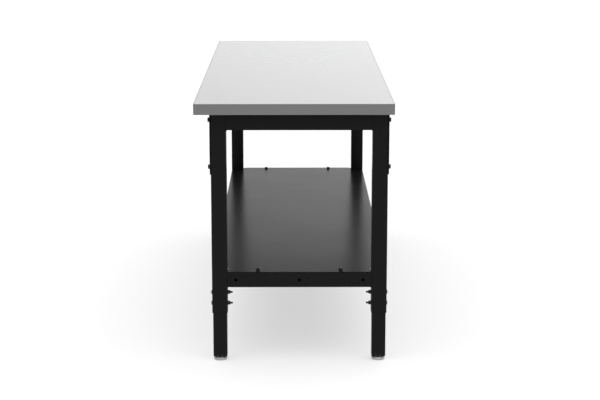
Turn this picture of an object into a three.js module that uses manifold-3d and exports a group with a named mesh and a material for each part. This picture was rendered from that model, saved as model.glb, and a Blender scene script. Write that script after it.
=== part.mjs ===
// Height-adjustable assembly table: a laminate worktop on a steel frame with telescoping legs.
// Millimetres, +Z up. X is the table's width and Y its length. The front end is at -Y, the right at +X.
// The origin is on the floor, under the middle of the worktop.
import * as THREE from 'three';
import { mergeVertices } from 'three/addons/utils/BufferGeometryUtils.js';
import loadManifold from 'manifold-3d';

const wasm = await loadManifold();
wasm.setup();

// Worktop
const TOP_WIDTH = 610;
const TOP_LENGTH = 1829;
const TOP_HEIGHT = 813; // floor to working surface, with the legs and feet at rest
const TOP_CORNER = 8; // plan radius of the four corners
const CORE_THICKNESS = 31.7;
const LAMINATE_THICKNESS = 1;
const BACKER_THICKNESS = 0.8;
const EDGE_BAND_THICKNESS = 3;
const EDGE_BAND_ROUND = 2.5; // radius along the band's outer edges
const GLUE_LINE = 0.1; // between the edge band and the slab

// Steel frame
const SIDE_OVERHANG = 34.25; // worktop past the legs at the sides, as the mean of left and right
const FRAME_OFFSET = 16; // the frame's middle lies this far right of the worktop's middle
const END_OVERHANG = 25.4; // worktop past the frame at each end
const TUBE = 48; // square tube of the outer legs and crossbars
const TUBE_WALL = 2;
const TUBE_CORNER = 4;
const OUTER_LEG_LENGTH = 622;
const CROSSBAR_HOLE = 9.5; // in the outward face of a lower crossbar
const CROSSBAR_HOLES = 3;
const CROSSBAR_HOLE_INSET = 25.75; // outer holes from the crossbar's ends

// Side rails, folded from sheet
const RAIL_SHEET = 3;
const RAIL_DEPTH = 50; // along the middle of the rail
const GUSSET_DEPTH = 189.5; // at the legs
const GUSSET_MARGIN = 10; // a gusset's lower edge past the leg
const GUSSET_SLOPE = 92; // run of the slanted edge from the gusset up to the rail
const GUSSET_CORNER = 10;
const TOP_SCREW_HOLES = 5; // in each rail's flange
const TOP_SCREW_HOLE = 6;
const TOP_SCREW_INSET = 130; // first and last hole from the rail's ends

// Rail bolts and the weld nuts inside the legs
const RAIL_BOLT = 8;
const RAIL_BOLT_END = 4.5; // past the weld nut
const RAIL_BOLT_FLATS = 12.7;
const RAIL_BOLT_FLANGE = 17;
const RAIL_BOLT_FLANGE_THICKNESS = 1.6;
const RAIL_BOLT_HEAD = 6.2; // with the flange
const RAIL_BOLT_DROP = 21.5; // upper bolt below the rail's top
const RAIL_BOLT_LIFT = 23; // lower bolt above the gusset's lower edge
const WELD_NUT_FLATS = 13;
const WELD_NUT_HEIGHT = 6.5;

// Shelf, its screws and its stiffener
const SHELF_SHEET = 1.5;
const SHELF_LIP = 25; // turned-down long edges
const SHELF_BEND = 3; // outer radius of the bend
const SHELF_NOTCH_CORNER = 4;
const SHELF_END_CORNER = 10; // each end between the legs
const SHELF_LEG_CLEARANCE = 2;
const LIP_RELIEF = 2; // each end of a lip stops short of the notch
const SHELF_SCREW = 6.35;
const SHELF_SCREW_END = 10.5; // past the crossbar's wall
const SHELF_SCREW_FLATS = 11.1;
const SHELF_SCREW_WASHER = 15.5;
const SHELF_SCREW_WASHER_THICKNESS = 1.5;
const SHELF_SCREW_HEAD = 6.6; // with the washer
const SHELF_SCREW_INSET = 94.25; // from the crossbar's ends
const STIFFENER_SHEET = 1.5;
const STIFFENER_CROWN = 50;
const STIFFENER_DEPTH = 24;
const STIFFENER_FLANGE = 20;
const STIFFENER_BEND = 3;
const STIFFENER_END_GAP = 0.5; // to each lower crossbar

// Telescoping legs and their clamp bolts
const LEG_SLIDE_CLEARANCE = 0.3; // on each side of the inner leg
const LEG_CORNER_EASE = 1.5; // inner leg's corner radius above that of the bore around it
const INNER_LEG_WALL = 2;
const LEG_RAISE = 50.8; // travel into the outer leg
const LEG_DROP = 101.6; // travel out of it
const INNER_LEG_LAND = 58; // inner leg above its slots
const SLOT_SIDE_CLEARANCE = 0.45;
const SLOT_END_CLEARANCE = 1;
const CLAMP_BOLT = 6.35;
const CLAMP_BOLT_END = 7; // past the nut
const CLAMP_BOLT_CHAMFER = 0.9;
const CLAMP_DOME = 15;
const CLAMP_DOME_HEIGHT = 3.7;
const CLAMP_NUT_FLATS = 11.1;
const CLAMP_NUT_FLANGE = 14.3;
const CLAMP_NUT_FLANGE_THICKNESS = 1.5;
const CLAMP_NUT_HEIGHT = 8.5;
const CLAMP_LIFT = 27; // lower bolt above the outer leg's end
const CLAMP_PITCH = 34.5;
const CLAMP_TO_CROSSBAR = 20.5; // upper bolt to the underside of the lower crossbar

// Levelling feet and the plugs that they screw into
const PLUG_FLANGE = 7.5;
const PLUG_FLANGE_ROUND = 2.5;
const PLUG_STEM = 24;
const PLUG_STEM_WALL = 2.5;
const PLUG_STEM_CORNER = 2;
const PLUG_CLEARANCE = 0.3;
const PLUG_BOSS = 18;
const PLUG_RIB = 2;
const STUD = 9.5;
const STUD_ABOVE_PLUG = 14; // stud's end above the plug's stem
const STUD_CHAMFER = 1;
const STUD_HEAD = 15; // captive in the foot base
const STUD_HEAD_THICKNESS = 3.5;
const STUD_HEAD_CLEARANCE = 0.2;
const BASE_DIAMETER = 42;
const BASE_HEIGHT = 9.5;
const BASE_WALL = 2.5;
const BASE_WEB = 3;
const BASE_ROUND = 2.5;
const FOOT_GAP = 3.5; // base to plug

// Clearances shared by the fasteners
const BOLT_CLEARANCE = 0.35; // bolt in a plain hole, on the radius
const THREAD_CLEARANCE = 0.3; // stud or bolt in a threaded hole, on the radius

// Fineness of the facets
const CORNER_STEPS = 2;
const ROUND_SIDES = 12;
const FOOT_SIDES = 20;
const ROUND_STEPS = 3; // in a dome or a turned edge
const EDGE_STEPS = 2; // in the rounded edge of a plate
const HEXAGON = 6;
const LEAST_CORNER = 0.4;
const PASS = 1; // how far a cutter runs past what it cuts
const MERGE = 1e-4;

// Heights and lengths that follow
const topThickness = CORE_THICKNESS + LAMINATE_THICKNESS + BACKER_THICKNESS;
const railTop = TOP_HEIGHT - topThickness;
const frameTop = railTop - RAIL_SHEET;
const outerLegEnd = frameTop - OUTER_LEG_LENGTH;
const clampHeights = { lower: outerLegEnd + CLAMP_LIFT, upper: outerLegEnd + CLAMP_LIFT + CLAMP_PITCH };
const lowerCrossbarTop = clampHeights.upper + CLAMP_TO_CROSSBAR + TUBE;
const shelfTop = lowerCrossbarTop + SHELF_SHEET;
const railBoltHeights = {
  lower: railTop - GUSSET_DEPTH + RAIL_BOLT_LIFT,
  upper: railTop - RAIL_BOLT_DROP,
};
const frameHalf = TOP_LENGTH / 2 - END_OVERHANG;
const frameWidth = TOP_WIDTH - 2 * SIDE_OVERHANG;
const legX = (frameWidth - TUBE) / 2;
const legY = frameHalf - TUBE / 2;
const crossbarLength = frameWidth - 2 * TUBE;
const crossbarHolePitch = (crossbarLength - 2 * CROSSBAR_HOLE_INSET) / (CROSSBAR_HOLES - 1);
const shelfScrewSpacing = crossbarLength - 2 * SHELF_SCREW_INSET;
const railBoltLength = RAIL_SHEET + TUBE_WALL + WELD_NUT_HEIGHT + RAIL_BOLT_END;
const shelfScrewLength = SHELF_SHEET + TUBE_WALL + SHELF_SCREW_END;
const clampBoltLength = TUBE + CLAMP_NUT_HEIGHT + CLAMP_BOLT_END;
const plugEnd = BASE_HEIGHT + FOOT_GAP;
const innerLegEnd = plugEnd + PLUG_FLANGE;
const slotHalfWidth = CLAMP_BOLT / 2 + SLOT_SIDE_CLEARANCE;
const slotReach = CLAMP_BOLT / 2 + SLOT_END_CLEARANCE;
const slotLow = clampHeights.lower - LEG_RAISE - slotReach;
const slotHigh = clampHeights.upper + LEG_DROP + slotReach;
const innerLegTop = slotHigh + INNER_LEG_LAND;
const tubeBoreCorner = Math.max(TUBE_CORNER - TUBE_WALL, LEAST_CORNER);
const innerLeg = TUBE - 2 * (TUBE_WALL + LEG_SLIDE_CLEARANCE);
const innerLegCorner = tubeBoreCorner + LEG_CORNER_EASE;
const innerBore = innerLeg - 2 * INNER_LEG_WALL;

// Finishes
function finish(color, roughness, metalness) {
  return new THREE.MeshStandardMaterial({ color, roughness, metalness });
}

const laminateGrey = finish(0xc4c5c6, 0.45, 0);
const chipboard = finish(0xb08d62, 0.9, 0);
const backerBrown = finish(0x6e5a45, 0.8, 0);
const blackCoat = finish(0x1c1c1d, 0.42, 0.1);
const blackPlated = finish(0x17181a, 0.35, 0.6);
const blackPlastic = finish(0x121212, 0.5, 0);
const zincPlated = finish(0xa9abad, 0.35, 0.8);

// Solids: conversion to and from closed meshes
function solid(geometry) {
  const bare = geometry.clone();
  for (const name of Object.keys(bare.attributes)) {
    if (name !== 'position') bare.deleteAttribute(name);
  }
  const merged = mergeVertices(bare, MERGE);
  const corners = merged.index.array;
  const faces = [];
  for (let i = 0; i < corners.length; i += 3) {
    const [a, b, c] = [corners[i], corners[i + 1], corners[i + 2]];
    if (a !== b && b !== c && c !== a) faces.push(a, b, c);
  }
  return new wasm.Manifold(
    new wasm.Mesh({
      numProp: 3,
      vertProperties: new Float32Array(merged.attributes.position.array),
      triVerts: new Uint32Array(faces),
    }),
  );
}

function geometryOf(body) {
  const mesh = body.getMesh();
  const geometry = new THREE.BufferGeometry();
  geometry.setAttribute('position', new THREE.BufferAttribute(mesh.vertProperties, 3));
  geometry.setIndex(new THREE.BufferAttribute(mesh.triVerts, 1));
  const faceted = geometry.toNonIndexed();
  faceted.computeVertexNormals();
  return faceted;
}

const join = (...bodies) => bodies.reduce((sum, body) => sum.add(body));
const cut = (body, ...cutters) => cutters.reduce((rest, cutter) => rest.subtract(cutter), body);

// Outlines
function roundedRectangle(width, depth, radius, path = new THREE.Shape()) {
  const x = width / 2 - radius;
  const y = depth / 2 - radius;
  path.moveTo(-x, -y - radius);
  path.absarc(x, -y, radius, -Math.PI / 2, 0);
  path.absarc(x, y, radius, 0, Math.PI / 2);
  path.absarc(-x, y, radius, Math.PI / 2, Math.PI);
  path.absarc(-x, -y, radius, Math.PI, 1.5 * Math.PI);
  return path;
}

// A closed outline of [x, y, radius] corners; a corner with no radius stays sharp
function corneredOutline(corners) {
  const shape = new THREE.Shape();
  corners.forEach(([x, y, radius = 0], i) => {
    const corner = new THREE.Vector2(x, y);
    const [before, after] = [corners.at(i - 1), corners[(i + 1) % corners.length]].map(([u, v]) =>
      new THREE.Vector2(u, v).sub(corner).setLength(radius).add(corner),
    );
    if (i === 0) shape.moveTo(before.x, before.y);
    else shape.lineTo(before.x, before.y);
    if (radius > 0) shape.quadraticCurveTo(x, y, after.x, after.y);
  });
  return shape;
}

// Extrusions, centred on the origin along X or Y, or rising from it along Z
const alongY = new THREE.Matrix4().makeRotationX(Math.PI / 2);
const alongX = new THREE.Matrix4().makeRotationZ(Math.PI / 2).multiply(alongY);

function prism(shape, depth, bevel = {}) {
  return new THREE.ExtrudeGeometry(shape, {
    depth,
    curveSegments: CORNER_STEPS,
    bevelEnabled: false,
    ...bevel,
  });
}

function centredPrism(shape, length, axis) {
  return prism(shape, length).translate(0, 0, -length / 2).applyMatrix4(axis);
}

// A plate whose outer edges are rounded above and below
function roundedPlate(shape, thickness, radius) {
  const bevel = {
    bevelEnabled: true,
    bevelThickness: radius,
    bevelSize: radius,
    bevelOffset: -radius,
    bevelSegments: EDGE_STEPS,
  };
  return prism(shape, thickness - 2 * radius, bevel).translate(0, 0, radius);
}

function squareTube(side, corner, wall, length) {
  const bore = side - 2 * wall;
  const boreCorner = Math.max(corner - wall, LEAST_CORNER);
  const outline = roundedRectangle(side, side, corner);
  outline.holes.push(roundedRectangle(bore, bore, boreCorner, new THREE.Path()));
  return prism(outline, length);
}

// Round bars along X, Y or Z, from one coordinate to another
function bar(axis, radius, from, to, sides = ROUND_SIDES) {
  const geometry = new THREE.CylinderGeometry(radius, radius, to - from, sides);
  geometry.translate(0, (from + to) / 2, 0);
  if (axis === 'x') geometry.rotateZ(-Math.PI / 2);
  if (axis === 'z') geometry.rotateX(Math.PI / 2);
  return geometry;
}

const box = (x, y, z) => new THREE.BoxGeometry(x, y, z);
const turned = (points, sides = ROUND_SIDES) =>
  new THREE.LatheGeometry(points.map(([r, y]) => new THREE.Vector2(r, y)), sides);
const acrossCorners = (flats) => flats / Math.cos(Math.PI / HEXAGON);

// A quarter round of [r, y] points from (r0 + radius, y0) up to (r0, y0 + rise)
function quarterRound(r0, y0, radius, rise) {
  return Array.from({ length: ROUND_STEPS + 1 }, (_, i) => {
    const angle = (i / ROUND_STEPS) * (Math.PI / 2);
    return [r0 + radius * Math.cos(angle), y0 + rise * Math.sin(angle)];
  });
}

// Evenly spaced places about zero
const spread = (count, pitch) => Array.from({ length: count }, (_, i) => (i - (count - 1) / 2) * pitch);

// A hexagon with a chamfered crown on a round flange that thins to its rim, rising along Y from its seat
function hexHead(flats, flange, flangeThickness, height) {
  const [apothem, corner, rim] = [flats / 2, acrossCorners(flats) / 2, flange / 2];
  const chamfer = corner - apothem;
  const hexagon = solid(bar('y', corner, 0, height, HEXAGON));
  const crown = turned([[0, 0], [corner, 0], [corner, height - chamfer], [apothem, height], [0, height]]);
  const rimTop = flangeThickness / 2;
  const skirt = turned([[0, 0], [rim, 0], [rim, rimTop], [apothem, flangeThickness], [0, flangeThickness]]);
  return join(hexagon.intersect(solid(crown)), solid(skirt));
}

function hexBolt(diameter, length, flats, flange, flangeThickness, head) {
  const shank = solid(bar('y', diameter / 2, -length, head / 2));
  return geometryOf(join(hexHead(flats, flange, flangeThickness, head), shank));
}

// The model: one named mesh for each piece
const table = new THREE.Group();
const frame = new THREE.Group();
frame.position.x = FRAME_OFFSET;
table.add(frame);

function piece(parent, name, geometry, material, [x, y, z] = [0, 0, 0]) {
  const mesh = new THREE.Mesh(geometry, material.clone());
  mesh.name = name;
  mesh.position.set(x, y, z);
  parent.add(mesh);
  return mesh;
}

// Worktop: a slab of three layers inside a rounded edge band
function addWorktop() {
  const border = EDGE_BAND_THICKNESS + GLUE_LINE;
  const slabOutline = (extra) =>
    roundedRectangle(
      TOP_WIDTH - 2 * (border - extra),
      TOP_LENGTH - 2 * (border - extra),
      Math.max(TOP_CORNER - border, LEAST_CORNER) + extra,
    );
  const slab = (thickness) => geometryOf(solid(prism(slabOutline(0), thickness)));
  const coreZ = railTop + BACKER_THICKNESS;
  piece(table, 'worktop_backer', slab(BACKER_THICKNESS), backerBrown, [0, 0, railTop]);
  piece(table, 'worktop_core', slab(CORE_THICKNESS), chipboard, [0, 0, coreZ]);
  piece(table, 'worktop_laminate', slab(LAMINATE_THICKNESS), laminateGrey, [0, 0, coreZ + CORE_THICKNESS]);

  const round = Math.min(EDGE_BAND_ROUND, EDGE_BAND_THICKNESS - LEAST_CORNER, TOP_CORNER - LEAST_CORNER);
  const outline = roundedRectangle(TOP_WIDTH, TOP_LENGTH, TOP_CORNER);
  const block = solid(roundedPlate(outline, topThickness, round));
  const inside = solid(prism(slabOutline(GLUE_LINE), topThickness + 2 * PASS).translate(0, 0, -PASS));
  piece(table, 'worktop_edge_band', geometryOf(cut(block, inside)), laminateGrey, [0, 0, railTop]);
}

// Outer leg, its outward side at +X, with clamp holes and weld nuts for the rail bolts
function outerLegGeometry() {
  const face = TUBE / 2;
  const bore = face - TUBE_WALL;
  const hole = CLAMP_BOLT / 2 + BOLT_CLEARANCE;
  const tube = squareTube(TUBE, TUBE_CORNER, TUBE_WALL, OUTER_LEG_LENGTH);
  let leg = solid(tube.translate(0, 0, outerLegEnd));
  for (const z of Object.values(clampHeights)) {
    const neck = box(TUBE_WALL + 2 * PASS, 2 * hole, 2 * hole).translate(face - TUBE_WALL / 2, 0, z);
    leg = cut(leg, solid(bar('x', hole, -face - PASS, 0).translate(0, 0, z)), solid(neck));
  }
  const nutEnd = bore - WELD_NUT_HEIGHT;
  const nutRoot = face - TUBE_WALL / 2;
  for (const z of Object.values(railBoltHeights)) {
    const nut = bar('x', acrossCorners(WELD_NUT_FLATS) / 2, nutEnd, nutRoot, HEXAGON);
    const thread = bar('x', RAIL_BOLT / 2 + THREAD_CLEARANCE, nutEnd - PASS, face + PASS);
    leg = cut(join(leg, solid(nut.translate(0, 0, z))), solid(thread.translate(0, 0, z)));
  }
  return geometryOf(leg);
}

// Inner leg, slotted on both sides so that it passes the clamp bolts over its whole travel
function innerLegGeometry() {
  const leg = squareTube(innerLeg, innerLegCorner, INNER_LEG_WALL, innerLegTop - innerLegEnd);
  const slot = new THREE.Shape();
  slot.absarc(0, slotLow + slotHalfWidth, slotHalfWidth, Math.PI, 2 * Math.PI);
  slot.absarc(0, slotHigh - slotHalfWidth, slotHalfWidth, 0, Math.PI);
  const cutter = centredPrism(slot, innerLeg + 2 * PASS, alongX);
  return geometryOf(cut(solid(leg.translate(0, 0, innerLegEnd)), solid(cutter)));
}

// Plug: a flange under the inner leg and a ribbed stem with a threaded boss inside it
function legPlugGeometry() {
  const stemSide = innerBore - 2 * PLUG_CLEARANCE;
  const stemEnd = innerLegEnd + PLUG_STEM;
  const tall = PLUG_FLANGE + PLUG_FLANGE_ROUND;
  const outline = roundedRectangle(innerLeg, innerLeg, innerLegCorner);
  const round = Math.min(PLUG_FLANGE_ROUND, innerLegCorner - LEAST_CORNER);
  const pillow = solid(roundedPlate(outline, tall, round).translate(0, 0, plugEnd));
  const above = box(innerLeg + PASS, innerLeg + PASS, tall).translate(0, 0, innerLegEnd + tall / 2);
  const root = innerLegEnd - PLUG_FLANGE / 2;
  const stem = squareTube(stemSide, PLUG_STEM_CORNER, PLUG_STEM_WALL, stemEnd - root);
  const stemSolid = solid(stem.translate(0, 0, root));
  const ribSpan = stemSide - PLUG_STEM_WALL;
  const ribs = [box(ribSpan, PLUG_RIB, stemEnd - root), box(PLUG_RIB, ribSpan, stemEnd - root)];
  const ribSolids = ribs.map((rib) => solid(rib.translate(0, 0, (stemEnd + root) / 2)));
  const boss = solid(bar('z', PLUG_BOSS / 2, root, stemEnd));
  const thread = solid(bar('z', STUD / 2 + THREAD_CLEARANCE, plugEnd - PASS, stemEnd + PASS));
  const flange = cut(pillow, solid(above));
  return geometryOf(cut(join(flange, stemSolid, ...ribSolids, boss), thread));
}

// Foot base: an inverted cup with a hole for the stud
function footBaseGeometry() {
  const outer = BASE_DIAMETER / 2;
  const inner = outer - BASE_WALL;
  const hole = STUD / 2 + THREAD_CLEARANCE;
  const ceiling = BASE_HEIGHT - BASE_WEB;
  const shoulder = quarterRound(outer - BASE_ROUND, BASE_HEIGHT - BASE_ROUND, BASE_ROUND, BASE_ROUND);
  const outside = [[inner, 0], [outer, 0], ...shoulder];
  const inside = [[hole, BASE_HEIGHT], [hole, ceiling], [inner, ceiling], [inner, 0]];
  return geometryOf(solid(turned([...outside, ...inside], FOOT_SIDES).rotateX(Math.PI / 2)));
}

// Foot stud: its head is captive under the base's web
function footStudGeometry() {
  const headTop = BASE_HEIGHT - BASE_WEB - STUD_HEAD_CLEARANCE;
  const end = innerLegEnd + PLUG_STEM + STUD_ABOVE_PLUG;
  const r = STUD / 2;
  const profile = [
    [0, headTop - STUD_HEAD_THICKNESS],
    [STUD_HEAD / 2, headTop - STUD_HEAD_THICKNESS],
    [STUD_HEAD / 2, headTop],
    [r, headTop],
    [r, end - STUD_CHAMFER],
    [r - STUD_CHAMFER, end],
    [0, end],
  ];
  return geometryOf(solid(turned(profile).rotateX(Math.PI / 2)));
}

// Clamp bolt along X: a domed head on a square neck, its seat at x = 0 and its shank towards -X
function clampBoltGeometry() {
  const r = CLAMP_BOLT / 2;
  const profile = [
    [0, -clampBoltLength],
    [r - CLAMP_BOLT_CHAMFER, -clampBoltLength],
    [r, CLAMP_BOLT_CHAMFER - clampBoltLength],
    [r, 0],
    ...quarterRound(0, 0, CLAMP_DOME / 2, CLAMP_DOME_HEIGHT),
  ];
  const neck = box(TUBE_WALL + PASS, CLAMP_BOLT, CLAMP_BOLT).translate((PASS - TUBE_WALL) / 2, 0, 0);
  return geometryOf(join(solid(turned(profile).rotateZ(-Math.PI / 2)), solid(neck)));
}

// Clamp nut along X, its seat at x = 0 and its hexagon towards -X
function clampNutGeometry() {
  const blank = hexHead(CLAMP_NUT_FLATS, CLAMP_NUT_FLANGE, CLAMP_NUT_FLANGE_THICKNESS, CLAMP_NUT_HEIGHT);
  const thread = solid(bar('y', CLAMP_BOLT / 2 + THREAD_CLEARANCE, -PASS, CLAMP_NUT_HEIGHT + PASS));
  return geometryOf(cut(blank, thread)).rotateZ(Math.PI / 2);
}

function railBoltGeometry() {
  return hexBolt(
    RAIL_BOLT,
    railBoltLength,
    RAIL_BOLT_FLATS,
    RAIL_BOLT_FLANGE,
    RAIL_BOLT_FLANGE_THICKNESS,
    RAIL_BOLT_HEAD,
  ).rotateZ(-Math.PI / 2);
}

// Side rail, its web at +X: an angle section cut to a side outline with a gusset at each end
function sideRailGeometry() {
  const section = new THREE.Shape();
  section.moveTo(-TUBE, 0);
  section.lineTo(-TUBE, -RAIL_SHEET);
  section.lineTo(0, -RAIL_SHEET);
  section.lineTo(0, -GUSSET_DEPTH);
  section.lineTo(RAIL_SHEET, -GUSSET_DEPTH);
  section.absarc(0, -RAIL_SHEET, RAIL_SHEET, 0, Math.PI / 2);
  const angle = solid(centredPrism(section, 2 * frameHalf, alongY));

  const slopeStart = frameHalf - TUBE - GUSSET_MARGIN;
  const slopeEnd = slopeStart - GUSSET_SLOPE;
  const side = corneredOutline([
    [-frameHalf, PASS],
    [-frameHalf, -GUSSET_DEPTH, GUSSET_CORNER],
    [-slopeStart, -GUSSET_DEPTH, GUSSET_CORNER],
    [-slopeEnd, -RAIL_DEPTH, GUSSET_CORNER],
    [slopeEnd, -RAIL_DEPTH, GUSSET_CORNER],
    [slopeStart, -GUSSET_DEPTH, GUSSET_CORNER],
    [frameHalf, -GUSSET_DEPTH, GUSSET_CORNER],
    [frameHalf, PASS],
  ]);
  const outline = solid(centredPrism(side, 2 * (TUBE + RAIL_SHEET + PASS), alongX));

  const boltHole = RAIL_BOLT / 2 + BOLT_CLEARANCE;
  const holes = [];
  for (const y of [-legY, legY]) {
    for (const z of Object.values(railBoltHeights)) {
      holes.push(bar('x', boltHole, -PASS, RAIL_SHEET + PASS).translate(0, y, z - railTop));
    }
  }
  const screwPitch = (2 * (frameHalf - TOP_SCREW_INSET)) / (TOP_SCREW_HOLES - 1);
  for (const y of spread(TOP_SCREW_HOLES, screwPitch)) {
    holes.push(bar('z', TOP_SCREW_HOLE / 2, -RAIL_SHEET - PASS, PASS).translate(-TUBE / 2, y, 0));
  }
  return geometryOf(cut(angle.intersect(outline), ...holes.map(solid)));
}

// Square tube along X between the legs of one end
function crossbarSolid() {
  const tube = squareTube(TUBE, TUBE_CORNER, TUBE_WALL, crossbarLength);
  return solid(tube.translate(0, 0, -crossbarLength / 2).applyMatrix4(alongX));
}

// Lower crossbar, its outward side at -Y, with holes there and above for the shelf screws
function lowerCrossbarGeometry() {
  const face = TUBE / 2;
  const front = spread(CROSSBAR_HOLES, crossbarHolePitch).map((x) =>
    bar('y', CROSSBAR_HOLE / 2, -face - PASS, PASS - face + TUBE_WALL).translate(x, 0, 0),
  );
  const above = spread(2, shelfScrewSpacing).map((x) =>
    bar('z', SHELF_SCREW / 2 + THREAD_CLEARANCE, face - TUBE_WALL - PASS, face + PASS).translate(x, 0, 0),
  );
  return geometryOf(cut(crossbarSolid(), ...[...front, ...above].map(solid)));
}

// Shelf: a sheet notched round the legs, with lips bent down between them. Its top is at z = 0.
function shelfGeometry() {
  const notch = TUBE + SHELF_LEG_CLEARANCE;
  const edge = frameWidth / 2;
  const [inX, inY, lipX] = [edge - notch, frameHalf - notch, edge - SHELF_BEND];
  const sheet = corneredOutline([
    [-inX, -frameHalf, SHELF_END_CORNER],
    [inX, -frameHalf, SHELF_END_CORNER],
    [inX, -inY, SHELF_NOTCH_CORNER],
    [lipX, -inY],
    [lipX, inY],
    [inX, inY, SHELF_NOTCH_CORNER],
    [inX, frameHalf, SHELF_END_CORNER],
    [-inX, frameHalf, SHELF_END_CORNER],
    [-inX, inY, SHELF_NOTCH_CORNER],
    [-lipX, inY],
    [-lipX, -inY],
    [-inX, -inY, SHELF_NOTCH_CORNER],
  ]);
  const lip = new THREE.Shape();
  lip.moveTo(lipX - PASS, -SHELF_SHEET);
  lip.absarc(lipX, -SHELF_BEND, SHELF_BEND - SHELF_SHEET, Math.PI / 2, 0, true);
  lip.lineTo(edge - SHELF_SHEET, -SHELF_LIP);
  lip.lineTo(edge, -SHELF_LIP);
  lip.absarc(lipX, -SHELF_BEND, SHELF_BEND, 0, Math.PI / 2);
  lip.lineTo(lipX - PASS, 0);
  const rightLip = centredPrism(lip, 2 * (inY - LIP_RELIEF), alongY);
  const leftLip = rightLip.clone().rotateZ(Math.PI);
  const screwHole = SHELF_SCREW / 2 + BOLT_CLEARANCE;
  const holes = [];
  for (const y of [-legY, legY]) {
    for (const x of spread(2, shelfScrewSpacing)) {
      holes.push(bar('z', screwHole, -SHELF_SHEET - PASS, PASS).translate(x, y, 0));
    }
  }
  const plate = solid(prism(sheet, SHELF_SHEET).translate(0, 0, -SHELF_SHEET));
  return geometryOf(cut(join(plate, solid(rightLip), solid(leftLip)), ...holes.map(solid)));
}

// Hat-section stiffener under the shelf, its flanges at z = 0
function stiffenerGeometry() {
  const sheet = STIFFENER_SHEET;
  const wall = STIFFENER_CROWN / 2;
  const rim = wall + STIFFENER_FLANGE;
  const hat = corneredOutline([
    [-rim, 0],
    [-rim, -sheet],
    [-wall, -sheet],
    [-wall, -STIFFENER_DEPTH, STIFFENER_BEND],
    [wall, -STIFFENER_DEPTH, STIFFENER_BEND],
    [wall, -sheet],
    [rim, -sheet],
    [rim, 0],
    [wall - sheet, 0],
    [wall - sheet, sheet - STIFFENER_DEPTH, STIFFENER_BEND - sheet],
    [sheet - wall, sheet - STIFFENER_DEPTH, STIFFENER_BEND - sheet],
    [sheet - wall, 0],
  ]);
  const length = 2 * (frameHalf - TUBE - STIFFENER_END_GAP);
  return geometryOf(solid(centredPrism(hat, length, alongY)));
}

function shelfScrewGeometry() {
  return hexBolt(
    SHELF_SCREW,
    shelfScrewLength,
    SHELF_SCREW_FLATS,
    SHELF_SCREW_WASHER,
    SHELF_SCREW_WASHER_THICKNESS,
    SHELF_SCREW_HEAD,
  ).rotateX(Math.PI / 2);
}

const ends = { front: -1, rear: 1 };
const sides = { left: -1, right: 1 };

// One corner: an outer leg with its rail bolts, and the telescoping leg, clamps and foot inside it
function addCorner(end, side) {
  const place = `${end}_${side}`;
  const corner = new THREE.Group();
  corner.position.set(sides[side] * legX, ends[end] * legY, 0);
  corner.rotation.z = side === 'left' ? Math.PI : 0;
  frame.add(corner);
  piece(corner, `outer_leg_${place}`, outerLegGeometry(), blackCoat);
  piece(corner, `inner_leg_${place}`, innerLegGeometry(), blackCoat);
  piece(corner, `leg_plug_${place}`, legPlugGeometry(), blackPlastic);
  piece(corner, `foot_stud_${place}`, footStudGeometry(), zincPlated);
  piece(corner, `foot_base_${place}`, footBaseGeometry(), zincPlated);
  for (const [level, z] of Object.entries(clampHeights)) {
    piece(corner, `clamp_bolt_${place}_${level}`, clampBoltGeometry(), blackPlated, [TUBE / 2, 0, z]);
    piece(corner, `clamp_nut_${place}_${level}`, clampNutGeometry(), blackPlated, [-TUBE / 2, 0, z]);
  }
  for (const [level, z] of Object.entries(railBoltHeights)) {
    const seat = [TUBE / 2 + RAIL_SHEET, 0, z];
    piece(corner, `rail_bolt_${place}_${level}`, railBoltGeometry(), blackPlated, seat);
  }
}

// The crossbars of one end, and the screws that hold the shelf to the lower one
function addEnd(end) {
  const y = ends[end] * legY;
  const upperZ = frameTop - TUBE / 2;
  const lowerZ = lowerCrossbarTop - TUBE / 2;
  piece(frame, `upper_crossbar_${end}`, geometryOf(crossbarSolid()), blackCoat, [0, y, upperZ]);
  const lower = piece(frame, `lower_crossbar_${end}`, lowerCrossbarGeometry(), blackCoat, [0, y, lowerZ]);
  lower.rotation.z = end === 'rear' ? Math.PI : 0;
  for (const side of Object.keys(sides)) {
    const seat = [(sides[side] * shelfScrewSpacing) / 2, y, shelfTop];
    piece(frame, `shelf_screw_${end}_${side}`, shelfScrewGeometry(), blackPlated, seat);
  }
}

function addSideRail(side) {
  const rail = piece(frame, `side_rail_${side}`, sideRailGeometry(), blackCoat, [
    (sides[side] * frameWidth) / 2,
    0,
    railTop,
  ]);
  rail.rotation.z = side === 'left' ? Math.PI : 0;
}

addWorktop();
for (const end of Object.keys(ends)) {
  addEnd(end);
  for (const side of Object.keys(sides)) addCorner(end, side);
}
for (const side of Object.keys(sides)) addSideRail(side);
piece(frame, 'shelf', shelfGeometry(), blackCoat, [0, 0, shelfTop]);
piece(frame, 'shelf_stiffener', stiffenerGeometry(), blackCoat, [0, 0, lowerCrossbarTop]);

export default table;
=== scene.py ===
"""Assembly table: finishes, fine fasteners, welds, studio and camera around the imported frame.

Metres, +Z up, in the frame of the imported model. The front end is at -Y and the right side at +X.
Fasteners and feet are drawn in millimetres and scaled where they are placed.
"""
import math
from collections import namedtuple

import bmesh
import bpy
from mathutils import Matrix, Vector


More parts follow.
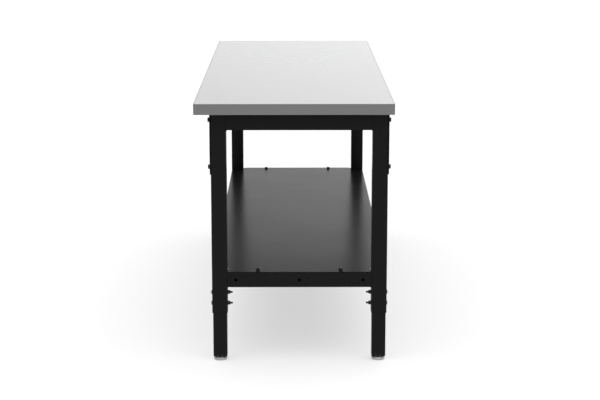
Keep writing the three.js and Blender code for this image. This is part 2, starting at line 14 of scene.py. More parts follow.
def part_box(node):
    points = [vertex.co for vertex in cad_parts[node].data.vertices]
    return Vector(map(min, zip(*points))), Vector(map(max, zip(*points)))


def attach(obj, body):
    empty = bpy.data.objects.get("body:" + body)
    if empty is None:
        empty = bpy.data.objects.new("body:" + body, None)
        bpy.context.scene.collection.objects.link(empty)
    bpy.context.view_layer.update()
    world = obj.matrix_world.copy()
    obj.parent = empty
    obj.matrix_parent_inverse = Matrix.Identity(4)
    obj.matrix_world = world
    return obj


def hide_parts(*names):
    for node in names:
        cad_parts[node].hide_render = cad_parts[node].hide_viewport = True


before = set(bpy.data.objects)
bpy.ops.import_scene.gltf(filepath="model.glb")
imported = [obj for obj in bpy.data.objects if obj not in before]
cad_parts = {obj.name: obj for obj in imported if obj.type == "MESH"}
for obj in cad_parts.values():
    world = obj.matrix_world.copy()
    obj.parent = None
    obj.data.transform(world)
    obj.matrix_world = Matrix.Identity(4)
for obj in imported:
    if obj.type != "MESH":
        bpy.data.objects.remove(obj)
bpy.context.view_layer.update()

MM = 0.001
UP = Vector((0, 0, 1))
WHITE = (1, 1, 1, 1)
ENDS = ("front", "rear")
SIDES = {"left": -1, "right": 1}
CORNERS = [(end, side) for end in ENDS for side in SIDES]
LEVELS = ("lower", "upper")

# Camera, at the photograph's viewing angle, for a picture of 600 by 400
PICTURE_WIDTH = 600
FOCAL_PIXELS = 1612
SENSOR = 36  # millimetres wide
CAMERA_PLACE = (-0.0092, -5.7244, 1.5061)
CAMERA_TILT = 11.607  # degrees below level
CAMERA_TURN = 0.32  # degrees to the right

# Light: how bright the studio is by direction. Limits are components of a unit direction.
HORIZON = 0.1
ZENITH = 2.5
LIGHT_LEAN = math.radians(12)  # of the brightest direction, from upright towards the front
LIGHT_LIMITS = (0.25, 0.95)  # along that direction, from HORIZON to ZENITH
BEHIND_LIMITS = (0.0, 0.9)  # along Y, from no backdrop to all of it
BACKDROP = 0.95
BACKDROP_TOP = 0.2
BACKDROP_LIMITS = (0.05, 0.3)  # along Z, from BACKDROP to BACKDROP_TOP
RIGHT_FILL = 0.62  # added to the backdrop's right side
RIGHT_LIMITS = (-0.3, 0.3)  # along X, from no fill to RIGHT_FILL

# Floor: diffuse, with a constant glow that keeps its shadows pale. In the open it is white.
FLOOR_SPAN = 60.0
FLOOR_ALBEDO = 0.31
FLOOR_MOTTLE = 0.99  # its darker share
FLOOR_GLOW = 0.57

# Finish of the solids
JOIN_DISTANCE = 0.00001  # metres, within which points join
SMOOTH_ANGLE = math.radians(50)

# Greys along the fleck of the laminate, and the darker greys of painted shade on the band's sides
LAMINATE_GREYS = ((0.3, (0.271, 0.272, 0.275)), (0.7, (0.291, 0.293, 0.296)))
BAND_SIDE_PAINTED_SHADE_GREYS = ((0.3, (0.134, 0.135, 0.137)), (0.7, (0.151, 0.152, 0.154)))

# Worktop, in millimetres
TOP_CORNER = 8
CORNER_STEPS = 10
BAND_ROUND = 1.0
BAND_STEPS = 6
GLUE_LINE = 0.1

# Fasteners, in millimetres. Heads rise from their seat and shanks go down from it.
ROUND = 48  # points in a ring
CAP_STEPS = 8
EDGE_BREAK = 0.25
CROWN_SLOPE = math.tan(math.radians(30))
THREAD_STEPS = 6  # rings in a turn
THREAD_DEPTH = 0.54  # of the pitch
# Pitches of the threads
INCH_20 = 25.4 / 20
INCH_16 = 25.4 / 16
COARSE_8 = 1.25
TAPPING = 1.8

# A shank has a tip of its own radius and height, a thread that grows over its runout, a fade from
# the thread to the neck, and a plain neck of its own radius and length.
Shank = namedtuple("Shank", "diameter pitch length tip tip_height runout fade neck neck_length")
# A head is a hexagon on a round flange. The edge is the flange's height at its rim, and the
# thickness is its height at the hexagon.
HexHead = namedtuple("HexHead", "flats flange edge thickness height")

RAIL_BOLT_SHANK = Shank(diameter=8, pitch=COARSE_8, length=16, tip=2.6, tip_height=0.7,
                        runout=1, fade=0.6, neck=4, neck_length=4)
RAIL_BOLT_HEAD = HexHead(flats=12.7, flange=17, edge=0.8, thickness=1.6, height=6.2)

SHELF_SCREW_SHANK = Shank(diameter=6.35, pitch=TAPPING, length=14, tip=0.6, tip_height=0.8,
                          runout=3, fade=0.4, neck=3, neck_length=0.8)
SHELF_SCREW_HEAD = HexHead(flats=11.1, flange=15.5, edge=0.75, thickness=1.5, height=6.6)

CLAMP_BOLT = 6.35  # diameter
CLAMP_CHAMFER = 0.9
CLAMP_SHANK = Shank(diameter=CLAMP_BOLT, pitch=INCH_20, length=63.5,
                    tip=CLAMP_BOLT / 2 - CLAMP_CHAMFER, tip_height=CLAMP_CHAMFER,
                    runout=0.6, fade=1, neck=CLAMP_BOLT / 2, neck_length=39)
CLAMP_SQUARE = 6.3  # across
CLAMP_SQUARE_LENGTH = 2.0
CLAMP_SQUARE_TAPER = 0.4
CLAMP_DOME = 7.5  # radius
CLAMP_DOME_FLAT = 1.2  # radius
CLAMP_DOME_HEIGHT = 3.7

CLAMP_NUT = HexHead(flats=11.1, flange=14.3, edge=0.8, thickness=1.8, height=6.0)
NUT_BORE = 3.4  # radius
NUT_MOUTH = 3.9  # radius
NUT_MOUTH_DEPTH = 0.5
NUT_COLLAR = 5.0  # radius
NUT_COLLAR_STEP = 0.1  # from the crown to the collar
NUT_HEIGHT = 8.5

TOP_SCREWS = 5  # in each rail's flange
TOP_SCREW_INSET = 130  # first and last screw from the rail's ends
TOP_SCREW_SHANK = Shank(diameter=4.8, pitch=TAPPING, length=24, tip=0.4, tip_height=1.5,
                        runout=4, fade=0.5, neck=2.4, neck_length=0.5)
TOP_SCREW_WASHER = 5.5  # radius
TOP_SCREW_WASHER_EDGE = 0.9
TOP_SCREW_PAN = 4.6  # radius
TOP_SCREW_PAN_FOOT = 1.1
TOP_SCREW_PAN_SIDE = 1.6
TOP_SCREW_PAN_ROUND = (2.2, 1.6)  # across and up
TOP_SCREW_RECESS = 1.7  # radius of its mouth
TOP_SCREW_RECESS_TOP = 3.0
TOP_SCREW_SOCKET = 2.0  # across its square
TOP_SCREW_SOCKET_FLOOR = 1.6

# Feet, in millimetres
FOOT_WALL = 2.5
FOOT_WEB = 3.0
FOOT_SHOULDER = 2.5
FOOT_CHAMFER = 0.6
FOOT_FILLET = 1.0
FOOT_HOLE = 5.05  # radius
FOOT_HOLE_CHAMFER = 0.4
STUD = 9.5  # diameter
STUD_RELIEF = 0.4
STUD_HEAD = 7.5  # radius
STUD_HEAD_HEIGHT = 3.5
STUD_HEAD_CHAMFER = 0.5
STUD_POINT = 3.4  # radius
STUD_POINT_HEIGHT = 1.0

# Welds, in millimetres
BEAD_RADIUS = 2.3
BEAD_SIDES = 10
BEAD_LEAST_STEPS = 8
BEAD_TIP = 0.2  # least share of the radius, at the ends
BEAD_UNEVEN = 0.05  # share of the radius, for the ripple and again for the wander
BEAD_RIPPLE = 1.9
BEAD_RIPPLE_STEPS = 5
BEAD_WANDER = 9
BEAD_PROUD = 0.35  # past the flush faces
BEAD_GROOVE = 1.6  # from the crossbar's end towards the leg
BEAD_ROOT = 0.2  # inside the corner under the crossbar
TUBE_CORNER = 4


# Materials

class Finish:
    """A principled material and short ways to add the nodes that vary it."""

    def __init__(self, name, roughness=0.5, metallic=0.0, ior=1.5):
        self.material = bpy.data.materials.new(name)
        self.material.use_nodes = True
        self.tree = self.material.node_tree
        self.shader = self.tree.nodes["Principled BSDF"]
        self.shader.inputs["Roughness"].default_value = roughness
        self.shader.inputs["Metallic"].default_value = metallic
        self.shader.inputs["IOR"].default_value = ior
        self.place = self.add("ShaderNodeTexCoord").outputs["Object"]

    def add(self, kind, **settings):
        node = self.tree.nodes.new(kind)
        for key, value in settings.items():
            setattr(node, key, value)
        return node

    def link(self, output, target):
        self.tree.links.new(output, target)

    def scaled_place(self, size, stretch=(1, 1, 1)):
        mapping = self.add("ShaderNodeMapping")
        mapping.inputs["Scale"].default_value = [1 / (size * s) for s in stretch]
        self.link(self.place, mapping.inputs["Vector"])
        return mapping.outputs["Vector"]

    def noise(self, size, detail=2.0, roughness=0.5, stretch=(1, 1, 1)):
        """Noise with features about size metres across, longer along an axis by its stretch."""
        place = self.scaled_place(size, stretch)
        noise = self.add("ShaderNodeTexNoise")
        noise.inputs["Scale"].default_value = 1.0
        noise.inputs["Detail"].default_value = detail
        noise.inputs["Roughness"].default_value = roughness
        self.link(place, noise.inputs["Vector"])
        return noise.outputs["Fac"]

    def cells(self, size):
        """Cells about size metres across."""
        place = self.scaled_place(size)
        cells = self.add("ShaderNodeTexVoronoi")
        cells.inputs["Scale"].default_value = 1.0
        self.link(place, cells.inputs["Vector"])
        return cells

    def ramp(self, value, *stops):
        """Colours or greys at places along value."""
        ramp = self.add("ShaderNodeValToRGB")
        elements = ramp.color_ramp.elements
        while len(elements) < len(stops):
            elements.new(0.5)
        for element, (place, colour) in zip(elements, stops):
            element.position = place
            element.color = (*(colour if isinstance(colour, tuple) else (colour,) * 3), 1)
        self.link(value, ramp.inputs["Fac"])
        return ramp.outputs["Color"]

    def blend(self, share, first, second, mode="MIX"):
        mix = self.add("ShaderNodeMix", data_type="RGBA", blend_type=mode)
        if isinstance(share, float):
            mix.inputs["Factor"].default_value = share
        else:
            self.link(share, mix.inputs["Factor"])
        self.link(first, mix.inputs["A"])
        self.link(second, mix.inputs["B"])
        return mix.outputs["Result"]

    def multiply(self, first, second):
        return self.blend(1.0, first, second, "MULTIPLY")

    def colour(self, output):
        self.link(output, self.shader.inputs["Base Color"])

    def roughness(self, value, low, high):
        span = self.add("ShaderNodeMapRange")
        span.inputs["To Min"].default_value = low
        span.inputs["To Max"].default_value = high
        self.link(value, span.inputs["Value"])
        self.link(span.outputs["Result"], self.shader.inputs["Roughness"])

    def bump(self, height, depth, strength):
        """Relief of depth metres, on top of the relief of earlier calls."""
        bump = self.add("ShaderNodeBump")
        bump.inputs["Strength"].default_value = strength
        bump.inputs["Distance"].default_value = depth
        self.link(height, bump.inputs["Height"])
        normal = self.shader.inputs["Normal"]
        if normal.is_linked:
            self.link(normal.links[0].from_socket, bump.inputs["Normal"])
        self.link(bump.outputs["Normal"], normal)


def fleck(f, greys):
    return f.ramp(f.noise(size=0.0009, detail=3, roughness=0.7), *greys)


def laminate():
    """Grey high-pressure laminate: a faint fine fleck, slow mottling and a pebbled skin."""
    f = Finish("laminate_grey")
    mottle = f.ramp(f.noise(size=0.14), (0.25, 0.965), (0.75, 1.0))
    f.colour(f.multiply(fleck(f, LAMINATE_GREYS), mottle))
    f.roughness(f.noise(size=0.05, detail=3), low=0.16, high=0.2)
    f.bump(f.noise(size=0.0006), depth=0.00003, strength=0.08)
    return f.material


def edge_band():
    """The band's plastic: its sides a darker grey with faint lines along them, the darker grey
    being painted shade; pale like the laminate where it faces upwards.
    """
    f = Finish("edge_band_grey")
    lines = f.ramp(f.noise(size=0.0012, stretch=(60, 60, 1)), (0.3, 0.97), (0.7, 1.0))
    # painted shade: the band's sides take darker greys than its top, though the band is one
    # plastic
    side = f.multiply(fleck(f, BAND_SIDE_PAINTED_SHADE_GREYS), lines)
    upward = f.add("ShaderNodeSeparateXYZ")
    f.link(f.add("ShaderNodeNewGeometry").outputs["True Normal"], upward.inputs["Vector"])
    # faces turned upwards get the laminate's grey, the rest keeps the painted shade
    pale = f.ramp(upward.outputs["Z"], (0.55, 0.0), (0.9, 1.0))
    f.colour(f.blend(pale, side, fleck(f, LAMINATE_GREYS)))
    f.roughness(f.noise(size=0.03), low=0.3, high=0.4)
    f.bump(f.noise(size=0.0008), depth=0.00002, strength=0.1)
    return f.material


def chipboard():
    """Pressed chips of several browns with dark gaps between them."""
    f = Finish("chipboard", roughness=0.9)
    chips = f.cells(size=0.006)
    browns = (0.15, (0.30, 0.19, 0.10)), (0.85, (0.56, 0.42, 0.26))
    gaps = f.ramp(chips.outputs["Distance"], (0.45, 1.0), (0.75, 0.62))
    f.colour(f.multiply(f.ramp(chips.outputs["Color"], *browns), gaps))
    f.bump(chips.outputs["Distance"], depth=0.0003, strength=0.6)
    return f.material


def backer_sheet():
    """Brown phenolic backing paper, sanded across, with darker fibres."""
    f = Finish("backer_sheet")
    fibre = f.noise(size=0.0016, detail=4, roughness=0.65, stretch=(1, 9, 1))
    f.colour(f.ramp(fibre, (0.3, (0.105, 0.072, 0.047)), (0.7, (0.19, 0.135, 0.09))))
    f.roughness(f.noise(size=0.04), low=0.62, high=0.8)
    f.bump(fibre, depth=0.00005, strength=0.5)
    return f.material


def black_coat():
    """Black powder coat: orange peel, a slow change of gloss and a few dull specks."""
    f = Finish("black_coat", ior=1.17)
    blacks = (0.6, (0.006, 0.006, 0.0065)), (0.75, (0.012, 0.012, 0.0125))
    f.colour(f.ramp(f.noise(size=0.0005, detail=1), *blacks))
    f.roughness(f.noise(size=0.16, detail=3), low=0.22, high=0.28)
    f.bump(f.noise(size=0.0014, detail=1), depth=0.00002, strength=0.25)
    f.bump(f.noise(size=0.006, detail=1), depth=0.00003, strength=0.25)
    return f.material


def black_plated():
    """Black zinc on the fasteners: a dark metal with uneven sheen and fine tool marks."""
    f = Finish("black_plated", metallic=0.6)
    blacks = (0.3, (0.009, 0.0092, 0.0098)), (0.75, (0.018, 0.0184, 0.0195))
    f.colour(f.ramp(f.noise(size=0.002, detail=3), *blacks))
    f.roughness(f.noise(size=0.0012, detail=3), low=0.28, high=0.46)
    f.bump(f.noise(size=0.0004), depth=0.00002, strength=0.4)
    return f.material


def black_plastic():
    """Moulded plug: matt black with a fine spark-eroded texture."""
    f = Finish("black_plastic", ior=1.25)
    blacks = (0.3, (0.005, 0.005, 0.0055)), (0.7, (0.008, 0.008, 0.0085))
    f.colour(f.ramp(f.noise(size=0.003), *blacks))
    f.roughness(f.noise(size=0.001), low=0.48, high=0.62)
    f.bump(f.noise(size=0.0005), depth=0.00004, strength=0.5)
    return f.material


def zinc_plated():
    """Bright zinc: a pale metal with soft blotches and fine level marks."""
    f = Finish("zinc_plated", metallic=1.0)
    greys = (0.25, (0.33, 0.335, 0.345)), (0.75, (0.47, 0.475, 0.485))
    f.colour(f.ramp(f.noise(size=0.004, detail=3), *greys))
    f.roughness(f.noise(size=0.003, detail=3), low=0.26, high=0.42)
    f.bump(f.noise(size=0.0005, stretch=(12, 12, 1)), depth=0.00002, strength=0.4)
    return f.material


FINISHES = {
    "laminate_grey": laminate(),
    "edge_band": edge_band(),
    "chipboard": chipboard(),
    "backer_sheet": backer_sheet(),
    "black_coat": black_coat(),
    "black_plated": black_plated(),
    "black_plastic": black_plastic(),
    "zinc_plated": zinc_plated(),
}


# Places on the frame

def middle(node):
    low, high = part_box(node)
    return (low + high) / 2


def side_face(node, sign):
    """The x of a node's face on the side that sign points to."""
    low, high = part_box(node)
    return high.x if sign > 0 else low.x


# Mesh helpers

def hexagon(flats):
    """The radius of a hexagon as a function of the angle."""
    sector = math.pi / 3

    def radius(angle):
        return flats / 2 / math.cos((angle + sector / 2) % sector - sector / 2)
    return radius


def square(side):
    """The radius of a square as a function of the angle."""
    return lambda angle: side / 2 / max(abs(math.cos(angle)), abs(math.sin(angle)))


def ring(radius, height, count=ROUND):
    """One ring about +Z. The radius and the height are lengths or functions of the angle."""
    points = []
    for i in range(count):
        angle = 2 * math.pi * i / count
        r = radius(angle) if callable(radius) else radius
        z = height(angle) if callable(height) else height
        points.append(Vector((r * math.cos(angle), r * math.sin(angle), z)))
    return points


def crown(flats, height):
    """The two rings of a hexagon's chamfered top, from its sides to its flat face."""
    radius = hexagon(flats)
    return [
        ring(radius, lambda a: height - (radius(a) - flats / 2 + EDGE_BREAK) * CROWN_SLOPE),
        ring(flats / 2 - EDGE_BREAK, height),
    ]


def quarter(inner, base, radius, rise):
    """Rings of a quarter round from (inner + radius, base) up to (inner, base + rise)."""
    turns = [math.pi / 2 * i / CAP_STEPS for i in range(CAP_STEPS + 1)]
    return [ring(inner + radius * math.cos(t), base + rise * math.sin(t)) for t in turns]


def thread(diameter, pitch, low, high, runout=0.0):
    """Rings of a screw thread from low to high, growing from its core over the first runout."""
    depth = THREAD_DEPTH * pitch
    core = diameter / 2 - depth
    count = max(2, round((high - low) / pitch * THREAD_STEPS))
    rings = []
    for k in range(count + 1):
        z = low + (high - low) * k / count
        reach = min(1.0, (z - low) / runout) if runout else 1.0

        def radius(angle, z=z, reach=reach):
            wave = 0.5 + 0.5 * math.cos(2 * math.pi * z / pitch - angle)
            return core + depth * wave * reach
        rings.append(ring(radius, z))
    return rings


def shank(size, top=0.0):
    """Rings of a threaded shank from its tip to the top of its neck."""
    low = size.tip_height - size.length
    high = -size.neck_length - size.fade
    return [
        ring(size.tip, -size.length),
        *thread(size.diameter, size.pitch, low, high, size.runout),
        ring(size.neck, -size.neck_length),
        ring(size.neck, top),
    ]


def hex_head(size):
    """Rings of a round flange and the chamfered hexagon on it."""
    rim = size.flange / 2
    return [
        ring(rim - EDGE_BREAK, 0),
        ring(rim, EDGE_BREAK),
        ring(rim, size.edge),
        ring(rim - EDGE_BREAK, size.edge + EDGE_BREAK),
        ring(hexagon(size.flats + EDGE_BREAK), size.thickness),
        ring(hexagon(size.flats), size.thickness + EDGE_BREAK),
        *crown(size.flats, size.height),
    ]


def loft(bm, rings, closed=False):
    """Skins rings of equal count. A closed loft joins last to first, and others are capped."""
    loops = [[bm.verts.new(p) for p in points] for points in rings]
    pairs = list(zip(loops, loops[1:]))
    if closed:
        pairs.append((loops[-1], loops[0]))
    for low, high in pairs:
        for i in range(len(low)):
            j = (i + 1) % len(low)
            bm.faces.new((low[i], low[j], high[j], high[i]))
    if not closed:
        bm.faces.new(list(reversed(loops[0])))
        bm.faces.new(loops[-1])


def upright(direction):
    """The turn that takes +Z to a direction."""
    return UP.rotation_difference(Vector(direction)).to_matrix().to_4x4()


def piece(name, bm, body, slot, nodes=(), finish=None, place=Matrix()):
    """An object from bm, smooth but for sharp edges, that rides on a body and stands for nodes."""
    bmesh.ops.transform(bm, matrix=place, verts=bm.verts)
    bmesh.ops.recalc_face_normals(bm, faces=bm.faces)
    mesh = bpy.data.meshes.new(name)
    bm.to_mesh(mesh)
    bm.free()
    mesh.shade_smooth()
    mesh.set_sharp_from_angle(angle=SMOOTH_ANGLE)
    mesh.materials.append(FINISHES[finish or slot])
    obj = bpy.data.objects.new(name, mesh)
    bpy.context.scene.collection.objects.link(obj)
    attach(obj, body)
    if nodes:
        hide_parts(*nodes)


def turned(name, rings, body, slot, nodes, point, outward=UP, closed=False):
    """A piece drawn in millimetres about +Z, with its origin at point and its +Z along outward."""
    bm = bmesh.new()
    loft(bm, rings, closed)
    place = Matrix.Translation(point) @ upright(outward) @ Matrix.Scale(MM, 4)
    piece(name, bm, body, slot, nodes, place=place)


def fastener(node, rings, point, outward, closed=False):
    """The fine form of one of the frame's black fasteners, with its seat at point."""
    turned(f"{node}_fine", rings, "frame", "black_plated", [node], point, outward, closed)


# Worktop

def rounded_rectangle(half_x, half_y, radius, height):
    points = []
    for k, (sx, sy) in enumerate(((1, 1), (-1, 1), (-1, -1), (1, -1))):
        for i in range(CORNER_STEPS + 1):
            angle = math.pi / 2 * (k + i / CORNER_STEPS)
            x = sx * (half_x - radius) + radius * math.cos(angle)
            y = sy * (half_y - radius) + radius * math.sin(angle)
            points.append(Vector((x, y, height)))
    return points


def worktop():
    """The laminate sheet and the rounded edge band, with round corners."""
    low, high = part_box("worktop_edge_band")
    sheet_low, sheet_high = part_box("worktop_laminate")
    sheet = high.x - sheet_high.x
    band = sheet - GLUE_LINE * MM

    def outline(inset, height):
        return rounded_rectangle(high.x - inset, high.y - inset, TOP_CORNER * MM - inset, height)

    turns = [math.pi / 2 * i / BAND_STEPS for i in range(BAND_STEPS + 1)]
    round_over = [(BAND_ROUND * MM * (1 - math.sin(t)), BAND_ROUND * MM * (1 - math.cos(t)))
                  for t in turns]
    rings = [outline(inset, low.z + rise) for inset, rise in round_over]
    rings += [outline(inset, high.z - drop) for inset, drop in reversed(round_over)]
    rings += [outline(band, high.z), outline(band, low.z)]
    bm = bmesh.new()
    loft(bm, rings, closed=True)
    piece("edge_band", bm, "frame", "laminate_grey", ["worktop_edge_band"], "edge_band")

    bm = bmesh.new()
    loft(bm, [outline(sheet, sheet_low.z), outline(sheet, sheet_high.z)])
    piece("laminate_sheet", bm, "frame", "laminate_grey", ["worktop_laminate"])


# Fasteners

def rail_bolt(end, side, level):
    node = f"rail_bolt_{end}_{side}_{level}"
    centre = middle(node)
    face = side_face(f"side_rail_{side}", SIDES[side])
    rings = [*shank(RAIL_BOLT_SHANK), *hex_head(RAIL_BOLT_HEAD)]
    fastener(node, rings, (face, centre.y, centre.z), (SIDES[side], 0, 0))


def shelf_screw(end, side):
    node = f"shelf_screw_{end}_{side}"
    centre = middle(node)
    shelf_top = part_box("shelf")[1].z
    rings = [*shank(SHELF_SCREW_SHANK), *hex_head(SHELF_SCREW_HEAD)]
    fastener(node, rings, (centre.x, centre.y, shelf_top), UP)


def clamp_bolt(end, side, level):
    """A round-headed bolt through both walls of the leg, its thread running on past the nut."""
    node = f"clamp_bolt_{end}_{side}_{level}"
    centre = middle(node)
    face = side_face(f"outer_leg_{end}_{side}", SIDES[side])
    dome_base = EDGE_BREAK * 2
    rings = [
        *shank(CLAMP_SHANK, -CLAMP_SQUARE_LENGTH - CLAMP_SQUARE_TAPER),
        ring(square(CLAMP_SQUARE), -CLAMP_SQUARE_LENGTH),
        ring(square(CLAMP_SQUARE), 0),
        ring(CLAMP_DOME - EDGE_BREAK, 0),
        ring(CLAMP_DOME, EDGE_BREAK),
        *quarter(CLAMP_DOME_FLAT, dome_base, CLAMP_DOME - CLAMP_DOME_FLAT,
                 CLAMP_DOME_HEIGHT - dome_base),
    ]
    fastener(node, rings, (face, centre.y, centre.z), (SIDES[side], 0, 0))


def clamp_nut(end, side, level):
    """A flanged lock nut on the inward side of the leg, with a round collar above its hexagon."""
    node = f"clamp_nut_{end}_{side}_{level}"
    centre = middle(node)
    inward = -SIDES[side]
    face = side_face(f"outer_leg_{end}_{side}", inward)
    lip = NUT_COLLAR - NUT_MOUTH
    rings = [
        ring(NUT_MOUTH, 0),
        *hex_head(CLAMP_NUT),
        ring(NUT_COLLAR, CLAMP_NUT.height + NUT_COLLAR_STEP),
        *quarter(NUT_MOUTH, NUT_HEIGHT - lip, lip, lip),
        ring(NUT_BORE, NUT_HEIGHT - NUT_MOUTH_DEPTH),
        ring(NUT_BORE, NUT_MOUTH_DEPTH),
    ]
    fastener(node, rings, (face, centre.y, centre.z), (inward, 0, 0), closed=True)


def worktop_screw(side, index, y):
    """A pan-head screw through a rail's top flange up into the worktop."""
    leg = f"outer_leg_front_{side}"
    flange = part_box(leg)[1].z
    across, up = TOP_SCREW_PAN_ROUND
    rings = [
        *shank(TOP_SCREW_SHANK),
        ring(TOP_SCREW_WASHER - EDGE_BREAK, 0),
        ring(TOP_SCREW_WASHER, EDGE_BREAK),
        ring(TOP_SCREW_WASHER, TOP_SCREW_WASHER_EDGE),
        ring(TOP_SCREW_PAN, TOP_SCREW_PAN_FOOT),
        *quarter(TOP_SCREW_PAN - across, TOP_SCREW_PAN_SIDE, across, up),
        ring(TOP_SCREW_RECESS, TOP_SCREW_RECESS_TOP),
        ring(square(TOP_SCREW_SOCKET), TOP_SCREW_SOCKET_FLOOR),
    ]
    name = f"worktop_screw_{side}_{index}"
    turned(name, rings, "frame", "zinc_plated", [], (middle(leg).x, y, flange), -UP)


def worktop_screws():
    rail_low, rail_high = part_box("side_rail_left")
    inset = TOP_SCREW_INSET * MM
    pitch = (rail_high.y - rail_low.y - 2 * inset) / (TOP_SCREWS - 1)
    for side in SIDES:
        for index in range(TOP_SCREWS):
            worktop_screw(side, index + 1, rail_low.y + inset + index * pitch)


# Feet

def foot_base_rings(outer, top):
    inner = outer - FOOT_WALL
    ceiling = top - FOOT_WEB
    return [
        ring(inner, FOOT_CHAMFER),
        ring(inner + FOOT_CHAMFER, 0),
        ring(outer - FOOT_CHAMFER, 0),
        ring(outer, FOOT_CHAMFER),
        *quarter(outer - FOOT_SHOULDER, top - FOOT_SHOULDER, FOOT_SHOULDER, FOOT_SHOULDER),
        ring(FOOT_HOLE + FOOT_HOLE_CHAMFER, top),
        ring(FOOT_HOLE, top - FOOT_HOLE_CHAMFER),
        ring(FOOT_HOLE, ceiling),
        ring(inner - FOOT_FILLET, ceiling),
        ring(inner, ceiling - FOOT_FILLET),
    ]


def foot_stud_rings(low, high):
    head_top = low + STUD_HEAD_HEIGHT
    core = STUD / 2 - THREAD_DEPTH * INCH_16
    return [
        ring(STUD_HEAD - STUD_HEAD_CHAMFER, low),
        ring(STUD_HEAD, low + STUD_HEAD_CHAMFER),
        ring(STUD_HEAD, head_top - STUD_HEAD_CHAMFER),
        ring(STUD_HEAD - STUD_HEAD_CHAMFER, head_top),
        ring(core, head_top),
        *thread(STUD, INCH_16, head_top + STUD_RELIEF, high - STUD_POINT_HEIGHT),
        ring(STUD_POINT, high),
    ]


def foot(end, side):
    """A turned foot base and its threaded stud."""
    corner = f"{end}_{side}"
    base, stud = f"foot_base_{corner}", f"foot_stud_{corner}"
    low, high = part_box(base)
    stud_low, stud_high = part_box(stud)
    point = ((low.x + high.x) / 2, (low.y + high.y) / 2, 0)
    base_rings = foot_base_rings((high.x - low.x) / 2 / MM, high.z / MM)
    turned(f"{base}_fine", base_rings, f"foot_{corner}", "zinc_plated", [base], point, closed=True)
    stud_rings = foot_stud_rings(stud_low.z / MM, stud_high.z / MM)
    turned(f"{stud}_fine", stud_rings, f"stud_{corner}", "zinc_plated", [stud], point)


# Welds

def bead(bm, start, finish, phase):
    """A rippled weld bead with round ends, from start to finish. The phase shifts its ripple."""
    along = Vector(finish) - Vector(start)
    length = along.length
    place = Matrix.Translation(start) @ upright(along)
    radius, pitch = BEAD_RADIUS * MM, BEAD_RIPPLE * MM
    steps = max(BEAD_LEAST_STEPS, round(length / pitch * BEAD_RIPPLE_STEPS))
    rings = []
    for k in range(steps + 1):
        z = length * k / steps
        from_end = min(z, length - z) / radius
        cap = math.sqrt(max(BEAD_TIP ** 2, 1 - max(0.0, 1 - from_end) ** 2))
        ripple = 1 + BEAD_UNEVEN * math.cos(2 * math.pi * (z / pitch) + phase)
        wander = 1 + BEAD_UNEVEN * math.sin(z / (BEAD_WANDER * MM) + 2 * phase)
        rings.append([place @ p for p in ring(radius * cap * ripple * wander, z, BEAD_SIDES)])
    loft(bm, rings)


def welds(end, level):
    """The beads from a crossbar to its two legs: up both flush faces and along the underside."""
    low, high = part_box(f"{level}_crossbar_{end}")
    corner = TUBE_CORNER * MM
    sunk = (BEAD_RADIUS - BEAD_PROUD) * MM
    bm = bmesh.new()
    for sign, x in ((-1, low.x), (1, high.x)):
        groove = x + sign * BEAD_GROOVE * MM
        for k, y in enumerate((low.y + sunk, high.y - sunk)):
            bead(bm, (groove, y, low.z + corner), (groove, y, high.z - corner), k + sign)
        root, z = x - sign * BEAD_ROOT * MM, low.z + BEAD_ROOT * MM
        bead(bm, (root, low.y + corner, z), (root, high.y - corner, z), 3 * sign)
    piece(f"welds_{level}_{end}", bm, "frame", "black_coat")


# Solids kept from the frame

def smoothing():
    """Joins the facets of a solid and shades it smooth across all but its sharp edges."""
    group = bpy.data.node_groups.new("smooth_solid", "GeometryNodeTree")
    group.interface.new_socket("Geometry", in_out="INPUT", socket_type="NodeSocketGeometry")
    group.interface.new_socket("Geometry", in_out="OUTPUT", socket_type="NodeSocketGeometry")
    add, link = group.nodes.new, group.links.new
    source, result = add("NodeGroupInput"), add("NodeGroupOutput")
    bare = add("GeometryNodeRemoveAttribute")
    bare.inputs["Name"].default_value = "custom_normal"
    joined = add("GeometryNodeMergeByDistance")
    joined.inputs["Distance"].default_value = JOIN_DISTANCE
    smooth = add("GeometryNodeSetShadeSmooth")
    smooth.domain = "FACE"
    angle = add("GeometryNodeInputMeshEdgeAngle")
    sharp = add("FunctionNodeCompare")
    sharp.operation = "GREATER_THAN"
    sharp.inputs["B"].default_value = SMOOTH_ANGLE
    crease = add("GeometryNodeSetShadeSmooth")
    crease.domain = "EDGE"
    crease.inputs["Shade Smooth"].default_value = False
    link(source.outputs[0], bare.inputs["Geometry"])
    link(bare.outputs["Geometry"], joined.inputs["Geometry"])
    link(joined.outputs["Geometry"], smooth.inputs["Geometry"])
    link(smooth.outputs["Geometry"], crease.inputs["Geometry"])
    link(angle.outputs["Unsigned Angle"], sharp.inputs["A"])
    link(sharp.outputs["Result"], crease.inputs["Selection"])
    link(crease.outputs["Geometry"], result.inputs[0])
    return group


def finish_solid(name, slot, group):
    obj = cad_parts[name]
    obj.data.materials.clear()
    obj.data.materials.append(FINISHES[slot])
    obj.modifiers.new("smooth", "NODES").node_group = group
    normals = obj.modifiers.new("normals", "WEIGHTED_NORMAL")
    normals.keep_sharp = True


def finish_solids():
    group = smoothing()
    finish_solid("worktop_core", "chipboard", group)
    finish_solid("worktop_backer", "backer_sheet", group)
    for name in ("shelf", "shelf_stiffener", *(f"side_rail_{side}" for side in SIDES)):
        finish_solid(name, "black_coat", group)
    for end in ENDS:
        for level in LEVELS:
            finish_solid(f"{level}_crossbar_{end}", "black_coat", group)
    for end, side in CORNERS:
        finish_solid(f"outer_leg_{end}_{side}", "black_coat", group)
        finish_solid(f"inner_leg_{end}_{side}", "black_coat", group)
        finish_solid(f"leg_plug_{end}_{side}", "black_plastic", group)


# Studio

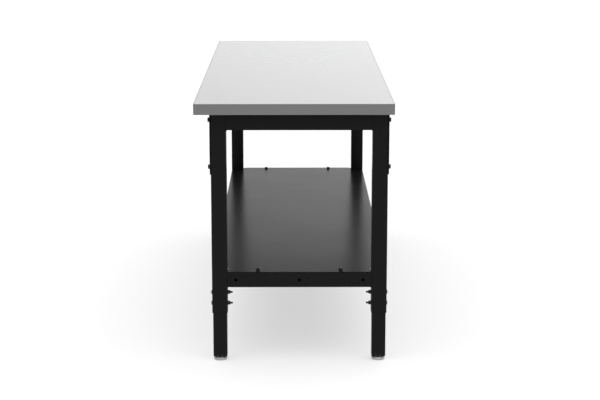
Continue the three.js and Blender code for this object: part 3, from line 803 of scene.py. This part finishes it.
def floor():
    bm = bmesh.new()
    bmesh.ops.create_grid(bm, x_segments=1, y_segments=1, size=FLOOR_SPAN / 2)
    mesh = bpy.data.meshes.new("floor")
    bm.to_mesh(mesh)
    bm.free()
    f = Finish("floor_pale", roughness=0.8, ior=1.1)
    f.colour(f.ramp(f.noise(size=0.6), (0.3, FLOOR_ALBEDO * FLOOR_MOTTLE), (0.7, FLOOR_ALBEDO)))
    f.shader.inputs["Emission Color"].default_value = WHITE
    f.shader.inputs["Emission Strength"].default_value = FLOOR_GLOW
    mesh.materials.append(f.material)
    obj = bpy.data.objects.new("floor", mesh)
    bpy.context.scene.collection.objects.link(obj)


def studio():
    """Soft light from above that leans to the front, and a backdrop that fades upwards and is
    brighter on the right. The camera itself sees plain white behind the table."""
    scene = bpy.context.scene
    scene.view_settings.view_transform = "Standard"
    world = bpy.data.worlds.new("studio")
    scene.world = world
    world.use_nodes = True
    tree = world.node_tree
    background = tree.nodes["Background"]
    direction = tree.nodes.new("ShaderNodeTexCoord").outputs["Generated"]
    parts = tree.nodes.new("ShaderNodeSeparateXYZ")
    tree.links.new(direction, parts.inputs["Vector"])
    lean = tree.nodes.new("ShaderNodeVectorMath")
    lean.operation = "DOT_PRODUCT"
    lean.inputs[1].default_value = (0, -math.sin(LIGHT_LEAN), math.cos(LIGHT_LEAN))
    tree.links.new(direction, lean.inputs[0])

    def span(value, limits, start, end):
        node = tree.nodes.new("ShaderNodeMapRange")
        node.interpolation_type = "SMOOTHSTEP"
        node.inputs["From Min"].default_value, node.inputs["From Max"].default_value = limits
        node.inputs["To Min"].default_value = start
        node.inputs["To Max"].default_value = end
        tree.links.new(value, node.inputs["Value"])
        return node.outputs["Result"]

    def combine(first, second, operation="ADD"):
        node = tree.nodes.new("ShaderNodeMath")
        node.operation = operation
        tree.links.new(first, node.inputs[0])
        tree.links.new(second, node.inputs[1])
        return node.outputs["Value"]

    above = span(lean.outputs["Value"], LIGHT_LIMITS, HORIZON, ZENITH)
    behind = span(parts.outputs["Y"], BEHIND_LIMITS, 0.0, 1.0)
    backdrop = span(parts.outputs["Z"], BACKDROP_LIMITS, BACKDROP, BACKDROP_TOP)
    right = span(parts.outputs["X"], RIGHT_LIMITS, 0.0, RIGHT_FILL)
    low = combine(behind, combine(backdrop, right), "MULTIPLY")
    tree.links.new(combine(above, low), background.inputs["Strength"])

    white = tree.nodes.new("ShaderNodeBackground")
    white.inputs["Strength"].default_value = 1.0
    for node in (background, white):
        node.inputs["Color"].default_value = WHITE
    path = tree.nodes.new("ShaderNodeLightPath")
    mix = tree.nodes.new("ShaderNodeMixShader")
    tree.links.new(path.outputs["Is Camera Ray"], mix.inputs["Fac"])
    tree.links.new(background.outputs["Background"], mix.inputs[1])
    tree.links.new(white.outputs["Background"], mix.inputs[2])
    tree.links.new(mix.outputs["Shader"], tree.nodes["World Output"].inputs["Surface"])


def camera():
    data = bpy.data.cameras.new("camera")
    data.sensor_width = SENSOR
    data.lens = FOCAL_PIXELS / PICTURE_WIDTH * SENSOR
    obj = bpy.data.objects.new("camera", data)
    obj.location = CAMERA_PLACE
    obj.rotation_euler = (math.radians(90 - CAMERA_TILT), 0, math.radians(-CAMERA_TURN))
    bpy.context.scene.collection.objects.link(obj)
    bpy.context.scene.camera = obj


def build():
    camera()
    studio()
    floor()
    finish_solids()
    worktop()
    for end in ENDS:
        for level in LEVELS:
            welds(end, level)
        for side in SIDES:
            shelf_screw(end, side)
    for end, side in CORNERS:
        foot(end, side)
        for level in LEVELS:
            rail_bolt(end, side, level)
            clamp_bolt(end, side, level)
            clamp_nut(end, side, level)
    worktop_screws()


build()
